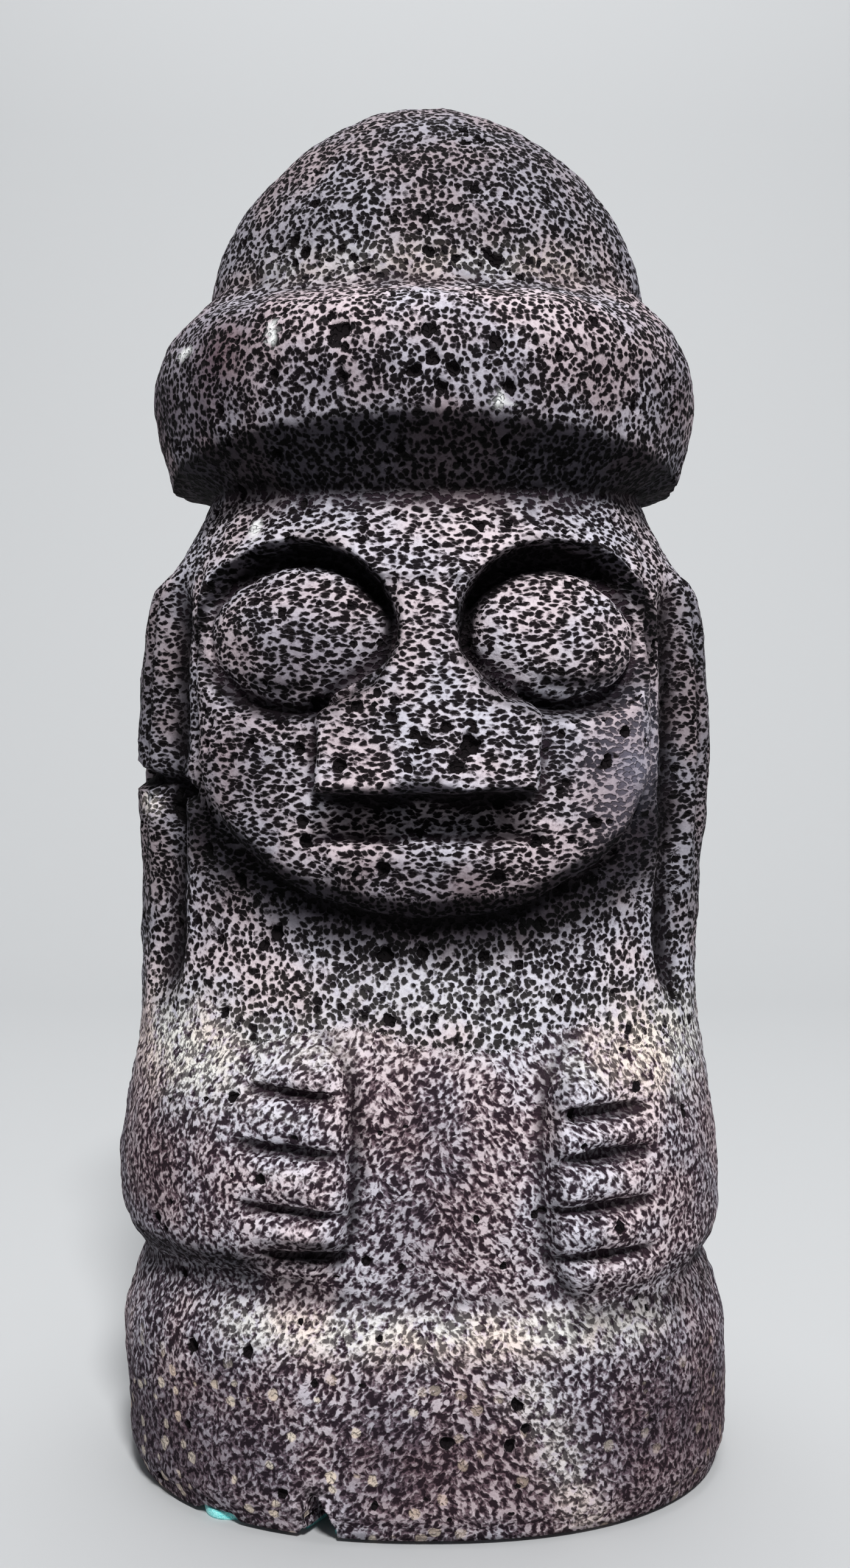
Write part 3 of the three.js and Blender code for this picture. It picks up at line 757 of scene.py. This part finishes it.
# Places painted darker, partly a darker tone of the stone and partly painted shade: the left sides of the
# brim, cheek and arm, the sides of the head, under the chin, below the left eye and between the hands; x,
# height, reach sideways and up, how much
darkToneAndShadePlaces = (
    (0, 158, 90, 16, 0.20), (0, 105, 90, 18, 0.06), (0, 188, 90, 16, 0.12),
    (0, 188, 60, 14, 0.22), (0, 150, 24, 6, 0.40), (-33, 156, 13, 16, 0.74), (34, 156, 12, 15, 0.45),
    (-17, 116, 12, 8, 0.55), (0, 84, 22, 6, 0.55), (-26, 99, 9, 13, 0.48), (26, 99, 9, 12, 0.30),
    (-37, 45, 10, 16, 0.55), (39, 48, 8, 14, 0.32), (0, 46, 9, 15, 0.50), (-34, 8, 18, 14, 0.90),
    (36, 10, 16, 17, 0.86), (0, 8, 24, 13, 0.62), (-40, 110, 7, 22, 0.30), (40, 110, 7, 22, 0.34),
    (0, 80, 30, 4, 0.12),
)


# White mineral flecks: x, height, half width and half height
flecks = (
    (9.7, 149.7, 0.9, 1.0), (-20.1, 159.0, 0.4, 2.3), (-23.1, 134.4, 0.8, 1.6), (-33.2, 159.2, 1.2, 0.8),
)


def darkToneAndShadeAt(x, z):
    clean = np.ones_like(x)
    for px, pz, wide, high, amount in darkToneAndShadePlaces:
        clean = clean * (1 - amount * np.exp(-((x - px) / wide) ** 2 - ((z - pz) / high) ** 2))
    return 1 - clean


# How thick pale dust lies on each place
dustShares = {
    "shoulders": 1.2, "ledges": 0.5, "hemEdge": 0.75, "streak": 0.50, "chest": 0.22, "crease": 0.35,
}


def makeStone():
    points, dark, z, turns = carveStone()
    smoothPoints = np.stack([softened(points[..., k], skin["surroundings"]) for k in range(3)], -1)
    outward = gridNormals(smoothPoints)
    # how far each spot stands out from the smoothed surface: worn lighter above it, painted shade in hollows
    # below it
    wearAndHollowShade = np.clip(((points - smoothPoints) * outward).sum(-1) / skin["worn"], -1, 1)
    x, y = points[..., 0], points[..., 1]
    upward = np.clip(outward[..., 2], 0, 1)
    shoulders = np.exp(-((np.abs(x) - 33) / 8) ** 2 - ((z - 63) / 5.5) ** 2) * (y < 8)
    ledges = smooth(upward, 0.25, 0.8) * (z < 75) * (y < 10)
    hemEdge = np.exp(-((z - 26.5) / 2.6) ** 2) * smooth(34 - np.abs(x - 3), 0, 8) * (y < -20)
    streak = np.exp(-((x - 17 - 0.45 * (12 - z)) / 3.2) ** 2) * smooth(24 - z, 0, 6) * (y < -20)
    fleck = np.zeros_like(x)
    for fx, fz, wide, high in flecks:
        fleck = np.maximum(fleck, smooth(1 - np.hypot((x - fx) / wide, (z - fz) / high), 0, 0.3) * (y < 0))
    chest = np.exp(-(x / 20) ** 2 - ((z - 70) / 6) ** 2) * (y < 0)
    crease = np.exp(-((z - 171) / 3) ** 2) * smooth(30 - np.abs(x), 0, 12) * (y < -10)
    dusty = {"shoulders": shoulders, "ledges": ledges, "hemEdge": hemEdge, "streak": streak,
             "chest": chest, "crease": crease}
    dust = np.clip(sum(dustShares[place] * spread for place, spread in dusty.items()), 0, 1)
    rubbed = np.exp(-((x - 28) / 5) ** 2 - ((z - 101) / 9) ** 2) * (y < -10)
    broken = 6 * valueNoise(points, 11.0, 5)
    ground = smooth(72 - z + broken, 0, 10)
    flat = smooth(z + broken, 80, 88) * smooth(139 - z, 0, 1) * (y < 5)
    cream = smooth(24 - z, 0, 8) * (0.35 + 0.65 * smooth(-x, -10, 15))
    facetX, facetZ, facetWide = chips["facet"]
    facet = smooth(2.3 - np.hypot((x - facetX) / facetWide, z - facetZ), 0, 1.0) * (y < 0)
    dust = np.maximum(dust, facet)
    split = earSplit((groundReach(turns, z) + 3) * np.sin(turns), z) * (y < 0)
    facet = facet * (1 - split)
    # painted shade, cleared on the fresh facet, with painted shadow in the ear's split
    paintedShade = np.maximum(paintedShadePlaces(points, outward, z) * (1 - facet), 0.95 * smooth(split, 0, 0.5))
    # darker tone and painted shade, kept off where dust lies
    darkToneAndPaintedShade = np.clip(darkToneAndShadeAt(x, z) * (1 - dust) * (1 + 0.35 * valueNoise(points, 7.0, 21)), 0, 1)
    marks = {
        "darkToneAndPaintedShade": darkToneAndPaintedShade, "pit": dark, "wearAndHollowShade": wearAndHollowShade, "dust": dust, "ground": ground, "rubbed": rubbed,
        "flat": flat, "paintedShade": paintedShade * (1 - fleck), "cream": cream, "fleck": fleck,
    }
    stone = meshFromGrid("stone", points, marks)
    thinOut(stone, grid["triangles"])
    stone.data.materials.append(basaltMaterial())
    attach(stone, "root")
    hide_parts("stone_figure")
    print("stone carved")


def feltMaterial():
    n = Nodes("felt")
    place = n.add("ShaderNodeTexCoord").outputs["Object"]
    fibres = n.add("ShaderNodeTexNoise", {"Vector": place, "Scale": 2600.0,
                                          "Detail": 5.0, "Distortion": 1.5})
    pale = n.ramp(fibres.outputs["Fac"], 0.35, 0.65)
    n.put(n.shader.inputs["Base Color"], n.blend(pale, pad["colour"], pad["fibre"]))
    nap = n.add("ShaderNodeBump", {"Height": fibres.outputs["Fac"], "Distance": 0.0002, "Strength": 0.8})
    n.put(n.shader.inputs["Normal"], nap.outputs[0])
    n.shader.inputs["Roughness"].default_value = 1.0
    n.shader.inputs["Sheen Weight"].default_value = 0.4
    return n.material


def makePad():
    # Rings of the outline: soft pressed edges above and below, a little uneven where it was cut by hand
    count = pad["points"]
    turn = np.linspace(0, 2 * math.pi, count, endpoint=False)
    outline = stonePoints(turn, np.zeros(count))[:, :2]
    length = np.linalg.norm(outline, axis=1, keepdims=True)
    rng = np.random.default_rng(3)
    uneven = sum(rng.uniform(-pad["uneven"], pad["uneven"]) * np.sin(k * turn + rng.uniform(0, 6))
                 for k in (2, 3, 5, 9, 17))
    inset = pad["inset"] + 0.1 + uneven
    for x, half, out in pad["bulges"]:
        inset = inset - out * bump(outline[:, 0] - x, half) * (outline[:, 1] < 0)
    outline = outline * (1 - inset[:, None] / length) + np.array([pad["shift"], 0])
    rings = []
    profile = (
        (1.0, 0.0), (pad["edge"] * 0.3, 0.0), (0.0, pad["edge"]), (0.0, pad["thick"] - pad["edge"]),
        (pad["edge"] * 0.3, pad["thick"]), (1.0, pad["thick"]),
    )
    for drop, z in profile:
        scale = 1 - drop / np.linalg.norm(outline, axis=1, keepdims=True)
        rings.append(np.concatenate([outline * scale, np.full((count, 1), z)], 1))
    verts = np.concatenate(rings) * mm
    faces = []
    for ring in range(len(rings) - 1):
        for k in range(count):
            after = (k + 1) % count
            low, high = ring * count, (ring + 1) * count
            faces.append((low + k, low + after, high + after, high + k))
    faces.append(tuple(reversed(range(count))))
    faces.append(tuple(range((len(rings) - 1) * count, len(rings) * count)))
    mesh = bpy.data.meshes.new("pad")
    mesh.from_pydata(verts.tolist(), [], faces)
    mesh.shade_smooth()
    piece = bpy.data.objects.new("pad", mesh)
    bpy.context.scene.collection.objects.link(piece)
    mesh.materials.append(feltMaterial())
    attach(piece, "root")
    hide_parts("felt_pad")
    print("felt pad cut")


# Studio
studio = {
    "paper": (0.465, 0.474, 0.482, 1), "world": (0.92, 0.95, 1.0, 1),
    "worldStrength": 0.20, "worldSeen": 0.62,
    "keyPower": 33.0, "keyPlace": (0.18, -1.18, 1.26), "keySize": 0.26,
    "topPower": 3.0, "topPlace": (0.10, -0.25, 1.60), "topSize": 0.6,
    "backPower": 6.0, "backPlace": (0.0, 0.30, 1.10), "backSize": 0.8, "backAim": (0, 0.75, 0.15),
    "floorFront": -1.4, "floorBack": 0.45, "sweep": 0.5, "paperTop": 1.8, "paperHalf": 1.6,
    "lens": 43.28, "sensor": 36, "cameraPlace": (0, -0.289, 0.1085), "cameraTilt": 88.3,
}


def makeFloor():
    # Paper that sweeps up behind the statue
    back, sweep, half = studio["floorBack"], studio["sweep"], studio["paperHalf"]
    profile = [(studio["floorFront"], 0.0), (back, 0.0)]
    for angle in np.linspace(0.05, math.pi / 2, 24):
        profile.append((back + sweep * math.sin(angle), sweep - sweep * math.cos(angle)))
    profile.append((back + sweep, studio["paperTop"]))
    verts = [(x, y, z) for y, z in profile for x in (-half, half)]
    faces = [(2 * k, 2 * k + 1, 2 * k + 3, 2 * k + 2) for k in range(len(profile) - 1)]
    mesh = bpy.data.meshes.new("floor")
    mesh.from_pydata(verts, [], faces)
    mesh.shade_smooth()
    floor = bpy.data.objects.new("floor", mesh)
    bpy.context.scene.collection.objects.link(floor)
    n = Nodes("paper")
    n.shader.inputs["Base Color"].default_value = studio["paper"]
    n.shader.inputs["Roughness"].default_value = 0.95
    mesh.materials.append(n.material)


def makeLight(name, place, power, size, aim=(0, 0, 0.1)):
    light = bpy.data.lights.new(name, "AREA")
    light.shape = "DISK"
    light.size = size
    light.energy = power
    lamp = bpy.data.objects.new(name, light)
    lamp.location = place
    lamp.rotation_euler = (Vector(aim) - Vector(place)).to_track_quat("-Z", "Y").to_euler()
    bpy.context.scene.collection.objects.link(lamp)


def makeStudio():
    scene = bpy.context.scene
    makeFloor()
    makeLight("key", studio["keyPlace"], studio["keyPower"], studio["keySize"])
    makeLight("above", studio["topPlace"], studio["topPower"], studio["topSize"])
    makeLight("behind", studio["backPlace"], studio["backPower"], studio["backSize"], studio["backAim"])
    world = bpy.data.worlds.new("room")
    world.use_nodes = True
    tree = world.node_tree
    background = tree.nodes["Background"]
    background.inputs[0].default_value = studio["world"]
    seen = tree.nodes.new("ShaderNodeLightPath").outputs["Is Camera Ray"]
    strength = tree.nodes.new("ShaderNodeMapRange")  # the room looks pale but lights little
    tree.links.new(seen, strength.inputs["Value"])
    strength.inputs["To Min"].default_value = studio["worldStrength"]
    strength.inputs["To Max"].default_value = studio["worldSeen"]
    tree.links.new(strength.outputs[0], background.inputs[1])
    scene.world = world
    scene.view_settings.view_transform = "Standard"
    camera = bpy.data.cameras.new("camera")
    camera.lens = studio["lens"]
    camera.sensor_width = studio["sensor"]
    eye = bpy.data.objects.new("camera", camera)
    eye.location = studio["cameraPlace"]
    eye.rotation_euler = (math.radians(studio["cameraTilt"]), 0, 0)
    scene.collection.objects.link(eye)
    scene.camera = eye
    print("floor, lights and camera set")


makeStone()
makePad()
makeStudio()
